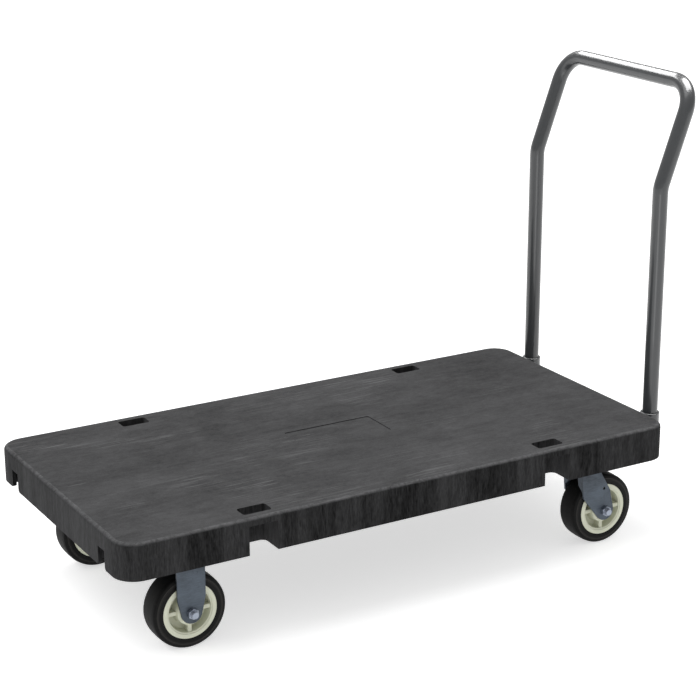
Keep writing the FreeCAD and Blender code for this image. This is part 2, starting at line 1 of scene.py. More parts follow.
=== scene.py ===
import json
import math

import bmesh
import bpy
from mathutils import Matrix, Vector

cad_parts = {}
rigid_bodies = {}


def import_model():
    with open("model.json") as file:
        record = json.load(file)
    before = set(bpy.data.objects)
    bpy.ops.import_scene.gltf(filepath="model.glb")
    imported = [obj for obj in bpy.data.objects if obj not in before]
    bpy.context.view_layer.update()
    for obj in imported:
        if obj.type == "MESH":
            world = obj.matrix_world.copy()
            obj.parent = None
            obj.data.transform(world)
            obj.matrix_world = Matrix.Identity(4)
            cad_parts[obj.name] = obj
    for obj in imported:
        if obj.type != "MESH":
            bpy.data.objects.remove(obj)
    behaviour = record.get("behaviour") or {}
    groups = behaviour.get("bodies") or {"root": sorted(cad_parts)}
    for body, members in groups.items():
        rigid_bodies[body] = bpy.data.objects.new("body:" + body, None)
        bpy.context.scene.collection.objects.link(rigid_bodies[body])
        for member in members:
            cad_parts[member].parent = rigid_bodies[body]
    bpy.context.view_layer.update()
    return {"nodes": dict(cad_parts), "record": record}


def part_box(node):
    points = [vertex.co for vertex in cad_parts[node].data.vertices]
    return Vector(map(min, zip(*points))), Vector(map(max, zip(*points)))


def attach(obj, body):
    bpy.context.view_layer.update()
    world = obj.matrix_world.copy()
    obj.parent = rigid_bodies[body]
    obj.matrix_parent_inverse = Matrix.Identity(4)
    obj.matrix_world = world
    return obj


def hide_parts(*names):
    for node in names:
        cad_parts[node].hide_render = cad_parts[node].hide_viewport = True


bl_info = {
    "name": "Platform cart looks",
    "version": (1, 0, 0),
    "blender": (4, 5, 0),
    "location": "View3D > Sidebar > Cart",
    "description": "Finishes and detail pieces of a platform cart, built round its packed frame",
    "category": "Object",
}

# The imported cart, in metres: +X along the deck to the handle, +Y to the left, +Z up from the floor.
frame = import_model()

SIDES = ("left", "right")
CASTERS = tuple(kind + "_" + side for kind in ("rigid", "swivel") for side in SIDES)
WHEEL_BODY = {caster: caster + "_wheel" for caster in CASTERS}
MM = 0.001

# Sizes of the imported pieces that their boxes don't give.
AXLE_RADIUS = 6.35 * MM
AXLE_NUT_BORE = 6.4 * MM
KINGPIN_NUT_BORE = 8.1 * MM
CORE_BORE = 14.5 * MM
TYRE_SEAT_HALF = 14.8 * MM
TYRE_KEY_DEPTH = 4.6 * MM
BOLT_SHANK_RADIUS = 4.95 * MM
BOLT_HEAD_FLATS = 16.0 * MM
WASHER_RADIUS = 10.5 * MM
WASHER_BORE = 5.3 * MM
RIM_STANDS_IN = 0.2 * MM

# How finely round pieces are divided.
TYRE_STEPS = 144
CORE_STEPS = 120
NUT_STEPS = 72


def size_of(node):
    """How long a node is along X, Y and Z."""
    low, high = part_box(node)
    return high - low


def middle_of(node):
    """The middle of a node's box."""
    low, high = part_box(node)
    return (low + high) / 2


def fork_body(caster):
    """The body that a caster's axle bolt belongs to."""
    return caster + "_fork_body" if caster.startswith("swivel") else "root"


def linear(red, green, blue):
    """A display colour, 0 to 255 a channel, as the linear colour that a shader takes."""
    channels = []
    for value in (red, green, blue):
        value /= 255
        channels.append(value / 12.92 if value <= 0.04045 else ((value + 0.055) / 1.055) ** 2.4)
    return (*channels, 1.0)


# ------------------------------------------------------------------ sizes and colours to change
def colour_of(words, red, green, blue):
    """A colour property with its default."""
    return bpy.props.FloatVectorProperty(
        name=words.capitalize(), description="Colour of the " + words, subtype="COLOR",
        size=4, min=0, max=1, default=linear(red, green, blue))


def length_of(words, value):
    """A length property with its default, in metres."""
    return bpy.props.FloatProperty(
        name=words.capitalize(), description="Size of the " + words, subtype="DISTANCE",
        unit="LENGTH", min=0, default=value)


class CartColours(bpy.types.PropertyGroup):
    deck: colour_of("deck resin", 66, 66, 67)
    scuff: colour_of("scuffs on the deck", 92, 92, 93)
    handle: colour_of("handle paint", 52, 54, 56)
    rail: colour_of("rail paint", 32, 32, 34)
    fork: colour_of("fork plating", 70, 78, 87)
    fastener: colour_of("nuts and bolts", 150, 157, 170)
    core: colour_of("wheel cores", 206, 208, 188)
    tyre: colour_of("tyres", 11, 11, 11)
    floor: colour_of("studio floor", 246, 246, 246)


class CartSizes(bpy.types.PropertyGroup):
    tyre_groove: length_of("ring moulded in the side of each tyre", 0.9 * MM)
    tyre_crown: length_of("drop of the tread towards its edges", 0.5 * MM)
    core_round: length_of("rounding of the wheel cores' edges", 1.1 * MM)
    bead_pitch: length_of("step from one ripple of a weld to the next", 1.6 * MM)
    bead_width: length_of("half width of a weld bead", 2.2 * MM)
    thread_pitch: length_of("pitch of the axle threads", 1.5 * MM)
    thread_depth: length_of("height of the axle threads", 0.45 * MM)
    hex_chamfer: length_of("chamfer on the corners of nuts and bolt heads", 1.1 * MM)


# ------------------------------------------------------------------ node trees as expressions
class Link:
    """An output socket that Python's operators work on; each operation adds one Math node."""

    def __init__(self, graph, socket):
        self.graph = graph
        self.socket = socket

    def maths(self, operation, *values):
        return self.graph.node("ShaderNodeMath", {"operation": operation}, dict(enumerate(values)))

    def __add__(self, other):
        return self.maths("ADD", self, other)

    def __radd__(self, other):
        return self.maths("ADD", other, self)

    def __sub__(self, other):
        return self.maths("SUBTRACT", self, other)

    def __rsub__(self, other):
        return self.maths("SUBTRACT", other, self)

    def __mul__(self, other):
        return self.maths("MULTIPLY", self, other)

    def __rmul__(self, other):
        return self.maths("MULTIPLY", other, self)

    def __abs__(self):
        return self.maths("ABSOLUTE", self)


class Graph:
    """A node tree that is written in expressions."""

    def __init__(self, tree):
        self.tree = tree
        self.tree.nodes.clear()

    def node(self, kind, settings=None, inputs=None, output=0):
        """Adds a node: its settings come first, then the values or links of its sockets."""
        made = self.tree.nodes.new(kind)
        for name, value in (settings or {}).items():
            setattr(made, name, value)
        for key, value in (inputs or {}).items():
            if isinstance(value, Link):
                self.tree.links.new(value.socket, made.inputs[key])
            else:
                made.inputs[key].default_value = value
        return Link(self, made.outputs[output]) if made.outputs else made


class Finish(Graph):
    """A material: a Principled shader and what varies over its surface."""

    def __init__(self, name, **constants):
        self.material = bpy.data.materials.new(name)
        self.material.use_nodes = True
        super().__init__(self.material.node_tree)
        inputs = {key.replace("_", " "): value for key, value in constants.items()}
        self.shader = self.node("ShaderNodeBsdfPrincipled", inputs=inputs)
        self.node("ShaderNodeOutputMaterial", inputs={"Surface": self.shader})

    def feed(self, name, value):
        """Links what varies to one of the shader's sockets."""
        self.tree.links.new(value.socket, self.shader.socket.node.inputs[name])

    def place(self):
        """Where a point is, in the cart's own frame, in metres."""
        return self.node("ShaderNodeTexCoord", output="Object")

    def wrap(self):
        """The piece's own map: turns round its axis, and metres along its outline."""
        return self.node("ShaderNodeUVMap", {"uv_map": "wrap"})

    def split(self, vector):
        """The three parts of a vector."""
        first = self.node("ShaderNodeSeparateXYZ", inputs={0: vector})
        return [Link(self, socket) for socket in first.socket.node.outputs]

    def stretch(self, vector, scale, turn=(0, 0, 0)):
        """A place scaled along each axis, and turned if asked."""
        return self.node("ShaderNodeMapping", None,
                         {"Vector": vector, "Scale": scale, "Rotation": turn})

    def noise(self, vector, scale, detail=2.0, roughness=0.5, distortion=0.0):
        """Cloudy noise round 0.5."""
        return self.node("ShaderNodeTexNoise", None, {
            "Vector": vector, "Scale": scale, "Detail": detail, "Roughness": roughness,
            "Distortion": distortion})

    def rise(self, value, low, high):
        """0 below low, 1 above high, and smooth between; the other way round if high is lower."""
        return self.node("ShaderNodeMapRange", {"interpolation_type": "SMOOTHSTEP"},
                         {"Value": value, "From Min": low, "From Max": high})

    def mix(self, share, first, second):
        """One colour going over into another."""
        return self.node("ShaderNodeMix", {"data_type": "RGBA"},
                         {0: share, 6: first, 7: second}, output=2)

    def shade(self, colour, factor):
        """A colour made lighter or darker by a factor."""
        grey = self.node("ShaderNodeCombineXYZ", None, {0: factor, 1: factor, 2: factor})
        return self.node("ShaderNodeVectorMath", {"operation": "MULTIPLY"}, {0: colour[:3], 1: grey})

    def soften_edges(self, radius):
        """A surface normal that rounds sharp edges over by a radius."""
        return self.node("ShaderNodeBevel", {"samples": 4}, {"Radius": radius})

    def bump(self, height, distance, normal=None):
        """A bump whose height runs from 0 to 1 times distance."""
        inputs = {"Strength": 1.0, "Distance": distance, "Height": height}
        if normal is not None:
            inputs["Normal"] = normal
        self.feed("Normal", self.node("ShaderNodeBump", None, inputs))


# ------------------------------------------------------------------ finishes
def deck_resin(colours):
    """Charcoal structural resin: swirled tone, drag streaks, a grainy skin and light scuffs; painted
    shade darkens the sides and the handle end, and a painted highlight lightens the edge fillets.
    """
    finish = Finish("deck_resin", Specular_IOR_Level=0.07)
    place = finish.place()
    facing = finish.split(finish.node("ShaderNodeTexCoord", output="Normal"))
    up = finish.rise(facing[2], 0.35, 0.95)
    level = finish.rise(facing[2], 0.985, 0.999)
    # Mask of the end faces, which the side tone below paints lighter than the long sides as painted
    # light.
    end = finish.rise(abs(facing[0]), 0.55, 0.95)
    brim_wear_and_highlight = up * (1 - level)

    swirl = finish.noise(finish.stretch(place, (1.0, 1.5, 1.0)), 3.1, 4.0, 0.55, 0.9)
    cloud = finish.noise(finish.stretch(place, (1.0, 2.0, 1.0)), 14.0, 6.0, 0.68, 0.5)
    drag = finish.noise(finish.stretch(place, (6.0, 60.0, 6.0)), 1.0, 5.0, 0.7, 0.4)
    mottle = finish.noise(finish.stretch(place, (1.0, 1.7, 1.0)), 75.0, 4.0, 0.7, 0.3)
    grain = finish.noise(place, 420.0, 3.0, 0.65)
    across = finish.split(place)[1]
    seam = finish.rise(across + (swirl - 0.5) * 0.02, -0.008, 0.008)
    top_tone = (1.04 + (swirl - 0.5) * 1.25 + (cloud - 0.5) * 1.3 + (drag - 0.5) * 0.55
                + (mottle - 0.5) * 0.9 + (grain - 0.5) * 0.9 - seam * 0.08)

    bands = finish.noise(finish.stretch(place, (6.5, 6.5, 0.4)), 1.0, 3.0, 0.6, 0.2)
    blocks = finish.rise(bands, 0.47, 0.53)
    streaks = finish.noise(finish.stretch(place, (90.0, 90.0, 13.0)), 1.0, 5.0, 0.7, 0.5)
    fine = finish.noise(finish.stretch(place, (380.0, 380.0, 70.0)), 1.0, 3.0, 0.65)
    # Painted shade: the sides are made far darker than the top (0.35 against 1.04) and the end faces
    # lighter, for how the light falls; the streaks, bands and blocks are the resin's own tone.
    side_tone_with_painted_shade = (0.35 + end * 0.27 + (blocks - 0.5) * 0.16 + (bands - 0.5) * 0.4
                 + (streaks - 0.5) * 0.95 + (fine - 0.5) * 0.8)

    worn = finish.rise(finish.noise(place, 110.0, 5.0, 0.7), 0.36, 0.64)
    # Painted shade: the top and the sides darken towards the handle end, +X.
    far = finish.rise(finish.split(place)[0], 0.15, 0.6)
    # The fillet term is partly real edge wear (the worn noise) and partly a painted highlight along
    # every edge fillet (the constant 0.15).
    tone = ((side_tone_with_painted_shade - far * 0.07) * (1 - up) + (top_tone - far * 0.06) * up
            + brim_wear_and_highlight * (0.15 + worn * 0.85))

    patch = finish.rise(finish.noise(place, 5.5, 2.0, 0.5, 0.6), 0.46, 0.6)
    marks = []
    for turn, stretch, low in ((0.35, (5.0, 190.0, 5.0), 0.6), (-0.5, (7.0, 230.0, 7.0), 0.61),
                               (1.25, (9.0, 300.0, 9.0), 0.62)):
        lines = finish.noise(finish.stretch(place, stretch, (0, 0, turn)), 1.0, 2.0, 0.5, 0.9)
        marks.append(finish.rise(lines, low, low + 0.06))
    rubbed = finish.rise(finish.noise(place, 95.0, 3.0, 0.6), 0.6, 0.76)
    scuffs = (marks[0] + marks[1] + marks[2] + rubbed * 0.6) * patch * up

    base = finish.shade(colours.deck, tone)
    finish.feed("Base Color", finish.mix(scuffs * 0.5, base, tuple(colours.scuff)))
    finish.feed("Roughness", 0.82 - scuffs * 0.15 + (cloud - 0.5) * 0.12)
    skin = finish.noise(place, 260.0, 3.0, 0.6)
    finish.bump(skin * 0.7 + drag * up * 0.6 + streaks * (1 - up) * 0.8, 0.3 * MM,
                finish.soften_edges(0.9 * MM))
    return finish.material


def handle_paint(colours):
    """Satin grey powder coat with a slight orange peel and thin spots."""
    finish = Finish("handle_paint", Specular_IOR_Level=0.45, Coat_Roughness=0.06)
    place = finish.place()
    cloud = finish.noise(place, 9.0, 3.0, 0.55, 0.4)
    rub = finish.noise(finish.stretch(place, (60.0, 60.0, 5.0)), 1.0, 3.0, 0.6)
    specks = finish.rise(finish.noise(place, 420.0, 1.0, 0.5), 0.74, 0.82)
    tone = 1.0 + (cloud - 0.5) * 0.3 + (rub - 0.5) * 0.3 - specks * 0.15
    finish.feed("Base Color", finish.shade(colours.handle, tone))
    finish.feed("Roughness", 0.3 + (cloud - 0.5) * 0.08 + specks * 0.1)
    finish.feed("Coat Weight", 0.5 - specks * 0.2)
    peel = finish.noise(place, 700.0, 2.0, 0.5)
    finish.bump(peel, 0.02 * MM, finish.soften_edges(0.5 * MM))
    return finish.material


def rail_paint(colours):
    """Black dipped paint on the rails, slightly runny."""
    finish = Finish("rail_paint", Specular_IOR_Level=0.5)
    place = finish.place()
    cloud = finish.noise(place, 24.0, 4.0, 0.6, 0.5)
    chips = finish.rise(finish.noise(place, 160.0, 3.0, 0.6), 0.68, 0.74)
    paint = finish.shade(colours.rail, 0.8 + cloud * 0.4)
    finish.feed("Base Color", finish.mix(chips * 0.5, paint, linear(96, 92, 88)))
    finish.feed("Roughness", 0.38 + (cloud - 0.5) * 0.2 + chips * 0.2)
    finish.bump(cloud * 0.6 + chips, 0.1 * MM, finish.soften_edges(0.6 * MM))
    return finish.material


def fork_plating(colours):
    """Blue-grey zinc on pressed steel: faint rolling lines and cloudy plating, with painted shade near
    the tops under the deck.
    """
    finish = Finish("fork_plating", Metallic=0.55, Specular_IOR_Level=0.5)
    place = finish.place()
    cloud = finish.noise(place, 26.0, 4.0, 0.6, 0.6)
    rolled = finish.noise(finish.stretch(place, (60.0, 60.0, 900.0)), 1.0, 3.0, 0.6)
    spots = finish.rise(finish.noise(place, 210.0, 3.0, 0.6), 0.66, 0.76)
    height = finish.split(place)[2]
    # Painted shade: the forks are made darker near their tops, under the deck, and lighter lower down.
    shadow = finish.rise(height, 0.185, 0.12)
    tone = 0.66 + (cloud - 0.5) * 1.5 + (rolled - 0.5) * 0.9 - spots * 0.3 + shadow * 0.34
    finish.feed("Base Color", finish.shade(colours.fork, tone))
    finish.feed("Roughness", 0.44 + (cloud - 0.5) * 0.22 + spots * 0.12)
    finish.bump(rolled * 0.5 + cloud * 0.3, 0.04 * MM, finish.soften_edges(0.7 * MM))
    return finish.material


def fastener_zinc(colours):
    """Bright zinc on nuts and bolts, with a little dulling in patches."""
    finish = Finish("fastener_zinc", Metallic=0.8)
    place = finish.place()
    cloud = finish.noise(place, 140.0, 3.0, 0.6, 0.5)
    turned = finish.noise(finish.stretch(place, (900.0, 300.0, 900.0)), 1.0, 2.0, 0.6)
    finish.feed("Base Color", finish.shade(colours.fastener, 0.72 + cloud * 0.5))
    finish.feed("Roughness", 0.28 + cloud * 0.16)
    finish.bump(turned * 0.5 + cloud * 0.4, 0.02 * MM, finish.soften_edges(0.35 * MM))
    return finish.material


def bearing_steel(colours):
    """Ground steel with a film of grease."""
    finish = Finish("bearing_steel", Metallic=1.0)
    cloud = finish.noise(finish.place(), 120.0, 3.0, 0.6, 0.6)
    film = finish.rise(cloud, 0.45, 0.65)
    finish.feed("Base Color", finish.mix(film, linear(176, 178, 182), linear(122, 108, 78)))
    finish.feed("Roughness", 0.2 + film * 0.2)
    return finish.material


def insert_brass(colours):
    """Turned brass of the threaded inserts, tarnished in places."""
    finish = Finish("insert_brass", Metallic=1.0)
    cloud = finish.noise(finish.place(), 180.0, 3.0, 0.6, 0.4)
    finish.feed("Base Color", finish.mix(finish.rise(cloud, 0.4, 0.7), linear(198, 164, 92),
                                         linear(140, 108, 60)))
    finish.feed("Roughness", 0.26 + cloud * 0.2)
    return finish.material


def cage_nylon(colours):
    """Black moulded nylon of the roller cages."""
    finish = Finish("cage_nylon")
    cloud = finish.noise(finish.place(), 260.0, 3.0, 0.6)
    finish.feed("Base Color", finish.shade(linear(46, 46, 48), 0.7 + cloud * 0.6))
    finish.feed("Roughness", 0.42 + cloud * 0.2)
    finish.bump(cloud, 0.04 * MM)
    return finish.material


def core_plastic(colours):
    """Cream moulded plastic of the wheel cores: soft mottling, and painted shade in the recesses."""
    finish = Finish("core_plastic", Specular_IOR_Level=0.4, Subsurface_Weight=0.04,
                    Subsurface_Radius=(0.004, 0.003, 0.0015))
    place = finish.place()
    cloud = finish.noise(place, 45.0, 3.0, 0.55, 0.3)
    grit = finish.rise(finish.noise(place, 330.0, 4.0, 0.65), 0.6, 0.78)
    inward = abs(finish.split(finish.wrap())[1])
    # Painted shade: the deeper a point lies in the recess, the more the colour goes over to a darker
    # grey-green.
    deep = finish.rise(inward, 0.0, 1.0)
    tone = 1.0 + (cloud - 0.5) * 0.14 - grit * 0.1
    base = finish.mix(deep * 0.42, finish.shade(colours.core, tone), linear(150, 152, 130))
    finish.feed("Base Color", base)
    finish.feed("Roughness", 0.42 + grit * 0.2 + deep * 0.1)
    finish.bump(cloud * 0.5 + grit * 0.5, 0.05 * MM)
    return finish.material


def tyre_rubber(colours):
    """Black rubber: satin sidewalls with moulding rings that carry a painted highlight, and a duller,
    dusty tread.
    """
    finish = Finish("tyre_rubber", Specular_IOR_Level=0.12)
    place = finish.place()
    along = finish.split(finish.wrap())[1]
    tread = finish.rise(along, 0.35, 0.75)
    cloud = finish.noise(place, 38.0, 4.0, 0.6, 0.4)
    dust = finish.rise(finish.noise(place, 120.0, 4.0, 0.65), 0.55, 0.75) * (0.25 + tread * 0.75)
    lathe_lines = finish.noise(finish.stretch(finish.wrap(), (14.0, 60.0, 1.0)), 1.0, 2.0, 0.5)
    # Painted highlight: a lighter band on the moulded shoulder ring; the same lighter colour stands for
    # real dust on the tread.
    ring = finish.rise(along, 0.1, 0.19) * finish.rise(along, 0.3, 0.21)
    base = finish.shade(colours.tyre, 0.75 + cloud * 0.5)
    finish.feed("Base Color", finish.mix(dust * 0.25 + ring * 0.35, base, linear(74, 72, 70)))
    finish.feed("Roughness", 0.5 + dust * 0.3 + tread * 0.1)
    finish.bump(lathe_lines * 0.5 + cloud * 0.5, 0.08 * MM)
    return finish.material


def studio_paper(colours):
    """The pale floor, lit a little from within so that shadows on it stay light."""
    finish = Finish("studio_paper", Roughness=0.9, Specular_IOR_Level=0.1, Emission_Strength=0.62)
    cloud = finish.noise(finish.place(), 0.6, 2.0, 0.5)
    tone = finish.shade(colours.floor, 0.99 + cloud * 0.02)
    finish.feed("Base Color", tone)
    finish.feed("Emission Color", tone)
    return finish.material


FINISHES = {
    "deck_resin": deck_resin,
    "handle_paint": handle_paint,
    "rail_paint": rail_paint,
    "fork_steel": fork_plating,
    "zinc_fasteners": fastener_zinc,
    "bearing_steel": bearing_steel,
    "brass_inserts": insert_brass,
    "cage_plastic": cage_nylon,
    "core_plastic": core_plastic,
    "tyre_rubber": tyre_rubber,
}
made_finishes = {}


def finish_for(slot):
    """The material of a slot, made once."""
    if slot not in made_finishes:
        made_finishes[slot] = FINISHES[slot](bpy.context.scene.cart_colours)
    return made_finishes[slot]


# ------------------------------------------------------------------ mesh helpers
def piece_from(name, bm, slot, body, nodes=(), sharp_degrees=32):
    """Turns a bmesh into a finished piece that rides on a body and stands for CAD nodes."""
    bmesh.ops.remove_doubles(bm, verts=bm.verts, dist=1e-7)
    bmesh.ops.recalc_face_normals(bm, faces=bm.faces)
    mesh = bpy.data.meshes.new(name)
    bm.to_mesh(mesh)
    bm.free()
    return piece_of(name, mesh, slot, body, nodes, sharp_degrees)


def piece_of(name, mesh, slot, body, nodes=(), sharp_degrees=32):
    """The same for a mesh that is ready."""
    mesh.polygons.foreach_set("use_smooth", [True] * len(mesh.polygons))
    mesh.set_sharp_from_angle(angle=math.radians(sharp_degrees))
    mesh.materials.clear()
    mesh.materials.append(finish_for(slot))
    piece = bpy.data.objects.new(name, mesh)
    bpy.context.scene.collection.objects.link(piece)
    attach(piece, body)
    if nodes:
        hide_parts(*nodes)
    return piece


def rounded(corners, default_radius, steps=4):
    """A closed outline of (radius, along, mark) points with its corners rounded.

    Each corner is (radius, along), and may add its own rounding and a mark that the finish reads.
    """
    corners = [tuple(c) + (default_radius, 0.0)[len(c) - 2:] for c in corners]
    outline = []
    for index, (radius, along, rounding, mark) in enumerate(corners):
        here = Vector((radius, along))
        before = Vector(corners[index - 1][:2]) - here
        after = Vector(corners[(index + 1) % len(corners)][:2]) - here
        half = before.angle(after) / 2
        reach = min(rounding / math.tan(half), 0.45 * before.length, 0.45 * after.length)
        if rounding <= 0 or half > math.radians(88):
            outline.append((here.x, here.y, mark))
            continue
        start = here + before.normalized() * reach
        end = here + after.normalized() * reach
        for step in range(steps + 1):
            share = step / steps
            spot = start.lerp(here, share).lerp(here.lerp(end, share), share)
            outline.append((spot.x, spot.y, mark))
    return outline


def mirrored(half):
    """An outline's half, followed by its mirror image on the other side of the wheel's middle."""
    return half + [(radius, -along, rounding, mark) for radius, along, rounding, mark in reversed(half)]


def add_turned(bm, outline, centre, steps):
    """Adds a ring turned about the Y axis from a closed outline, with its wrap map."""
    wrap = bm.loops.layers.uv.get("wrap") or bm.loops.layers.uv.new("wrap")
    rings = []
    for step in range(steps):
        angle = 2 * math.pi * step / steps
        rings.append([
            bm.verts.new(centre + Vector((radius * math.cos(angle), along, radius * math.sin(angle))))
            for radius, along, _ in outline])
    for step in range(steps):
        here, there = rings[step], rings[(step + 1) % steps]
        for index in range(len(outline)):
            after = (index + 1) % len(outline)
            face = bm.faces.new((here[index], there[index], there[after], here[after]))
            marks = (outline[index][2], outline[index][2], outline[after][2], outline[after][2])
            turns = (step, step + 1, step + 1, step)
            for loop, turn, mark in zip(face.loops, turns, marks):
                loop[wrap].uv = (turn / steps, mark)


def add_loft(bm, rings, matrix):
    """Adds a closed shape through a loop of rings of points, each placed by a matrix."""
    loops = [[bm.verts.new(matrix @ Vector(point)) for point in ring] for ring in rings]
    count = len(loops[0])
    for here, there in zip(loops, loops[1:] + loops[:1]):
        for index in range(count):
            after = (index + 1) % count
            bm.faces.new((here[index], here[after], there[after], there[index]))


def along_axis(seat, direction):
    """A matrix that takes +Z to a direction and the origin to a seat."""
    return Matrix.Translation(seat) @ Vector(direction).to_track_quat("Z", "X").to_matrix().to_4x4()


def circle_ring(radius, height):
    """A ring of points at one height."""
    angles = [2 * math.pi * step / NUT_STEPS for step in range(NUT_STEPS)]
    return [(radius * math.cos(angle), radius * math.sin(angle), height) for angle in angles]


def hex_ring(flats, height, slope, rim):
    """A hexagonal ring whose corners dip by the slope of a turned chamfer."""
    ring = []
    for step in range(NUT_STEPS):
        angle = 2 * math.pi * step / NUT_STEPS
        reach = flats / 2 / math.cos(angle % (math.pi / 3) - math.pi / 6)
        dip = max(0.0, reach - rim) * slope
        ring.append((reach * math.cos(angle), reach * math.sin(angle), height - dip))
    return ring


def hexagon_rings(flats, low, high):
    """The rings of a hexagon chamfered at both ends, from its lower rim to its upper rim."""
    chamfer_starts = 0.965
    rim = flats / 2 * chamfer_starts
    slope = bpy.context.scene.cart_sizes.hex_chamfer / (flats / math.sqrt(3) - rim)
    return [circle_ring(rim, low), hex_ring(flats, low, -slope, rim),
            hex_ring(flats, high, slope, rim), circle_ring(rim, high)]


# ------------------------------------------------------------------ geometry node trees
class Recipe(Graph):
    """A Geometry Nodes tree with named inputs."""

    KINDS = {float: "NodeSocketFloat", tuple: "NodeSocketVector"}

    def __init__(self, name, inputs):
        group = bpy.data.node_groups.new(name, "GeometryNodeTree")
        super().__init__(group)
        group.interface.new_socket("Geometry", in_out="INPUT", socket_type="NodeSocketGeometry")
        self.ids = {}
        for word, value in inputs.items():
            kind = self.KINDS[type(value)]
            socket = group.interface.new_socket(word, in_out="INPUT", socket_type=kind)
            self.ids[word] = socket.identifier
        socket = group.interface.new_socket("Material", in_out="INPUT",
                                            socket_type="NodeSocketMaterial")
        self.ids["Material"] = socket.identifier
        group.interface.new_socket("Geometry", in_out="OUTPUT", socket_type="NodeSocketGeometry")
        self.given = self.node("NodeGroupInput").socket.node
        self.values = dict(inputs)

    def take(self, word):
        """A named input of the tree."""
        return Link(self, self.given.outputs[word])

    def end(self, geometry):
        """Makes instances real, gives them their material and hands them out."""
        real = self.node("GeometryNodeRealizeInstances", None, {"Geometry": geometry})
        made = self.node("GeometryNodeSetMaterial", None,
                         {"Geometry": real, "Material": self.take("Material")})
        self.node("NodeGroupOutput", None, {"Geometry": made})

    def cook(self, mesh, slot):
        """Runs the tree on a mesh and returns the plain mesh that it makes."""
        carrier = bpy.data.objects.new(self.tree.name, mesh)
        bpy.context.scene.collection.objects.link(carrier)
        modifier = carrier.modifiers.new("recipe", "NODES")
        modifier.node_group = self.tree
        for word, value in self.values.items():
            modifier[self.ids[word]] = value
        modifier[self.ids["Material"]] = finish_for(slot)
        bpy.context.view_layer.update()
        ready = carrier.evaluated_get(bpy.context.evaluated_depsgraph_get())
        made = bpy.data.meshes.new_from_object(ready)
        carrier.modifiers.remove(modifier)
        bpy.data.objects.remove(carrier)
        return made


def pattern_recipe(name, middle, caster_gap, bolt_gap):
    """A tree that sets its own mesh at the four bolt places of each of the four casters."""
    recipe = Recipe(name, {
        "Middle": middle, "Caster Gap X": caster_gap[0], "Caster Gap Y": caster_gap[1],
        "Bolt Gap X": bolt_gap[0], "Bolt Gap Y": bolt_gap[1]})
    shape = recipe.take("Geometry")
    for word in ("Bolt", "Caster"):
        grid = recipe.node("GeometryNodeMeshGrid", None, {
            "Size X": recipe.take(word + " Gap X"), "Size Y": recipe.take(word + " Gap Y"),
            "Vertices X": 2, "Vertices Y": 2})
        shape = recipe.node("GeometryNodeInstanceOnPoints", None, {"Points": grid, "Instance": shape})
    recipe.end(recipe.node("GeometryNodeTransform", None,
                           {"Geometry": shape, "Translation": recipe.take("Middle")}))
    return recipe


def bead_recipe():
    """A tree that lays overlapping weld ripples along the edges of a mesh."""
    sizes = bpy.context.scene.cart_sizes
    recipe = Recipe("weld_ripples", {"Pitch": sizes.bead_pitch, "Half Width": sizes.bead_width})
    path = recipe.node("GeometryNodeMeshToCurve", None, {"Mesh": recipe.take("Geometry")})
    path = recipe.node("GeometryNodeResampleCurve", {"mode": "LENGTH"},
                       {"Curve": path, "Length": recipe.take("Pitch")})
    tangent = recipe.node("GeometryNodeInputTangent")
    turn = recipe.node("FunctionNodeAlignRotationToVector", {"axis": "X"}, {"Vector": tangent})
    ball = recipe.node("GeometryNodeMeshIcoSphere", None,
                       {"Radius": recipe.take("Half Width"), "Subdivisions": 2})
    scatter = recipe.node("FunctionNodeRandomValue", {"data_type": "FLOAT_VECTOR"},
                          {0: (0.72, 0.88, 0.88), 1: (0.92, 1.1, 1.1), "Seed": 7})
    beads = recipe.node("GeometryNodeInstanceOnPoints", None,
                        {"Points": path, "Instance": ball, "Rotation": turn, "Scale": scatter})
    recipe.end(beads)
    return recipe


def thread_recipe(radius, length, pitch, depth):
    """A tree that winds a screw thread's ridge round the Z axis."""
    recipe = Recipe("thread_ridge", {"Radius": radius, "Length": length, "Turns": length / pitch,
                                     "Ridge": depth})
    helix = recipe.node("GeometryNodeCurveSpiral", None, {
        "Resolution": 40, "Rotations": recipe.take("Turns"), "Start Radius": recipe.take("Radius"),
        "End Radius": recipe.take("Radius"), "Height": recipe.take("Length")})
    ridge = recipe.node("GeometryNodeCurvePrimitiveCircle", None, {
        "Resolution": 4, "Radius": recipe.take("Ridge")})
    recipe.end(recipe.node("GeometryNodeCurveToMesh", None,
                           {"Curve": helix, "Profile Curve": ridge, "Fill Caps": True}))
    return recipe


# ------------------------------------------------------------------ operators
class CartOperator(bpy.types.Operator):
    """One step of dressing the cart"""

    bl_options = {"REGISTER", "UNDO"}

    def execute(self, context):
        self.build(context.scene.cart_sizes)
        return {"FINISHED"}


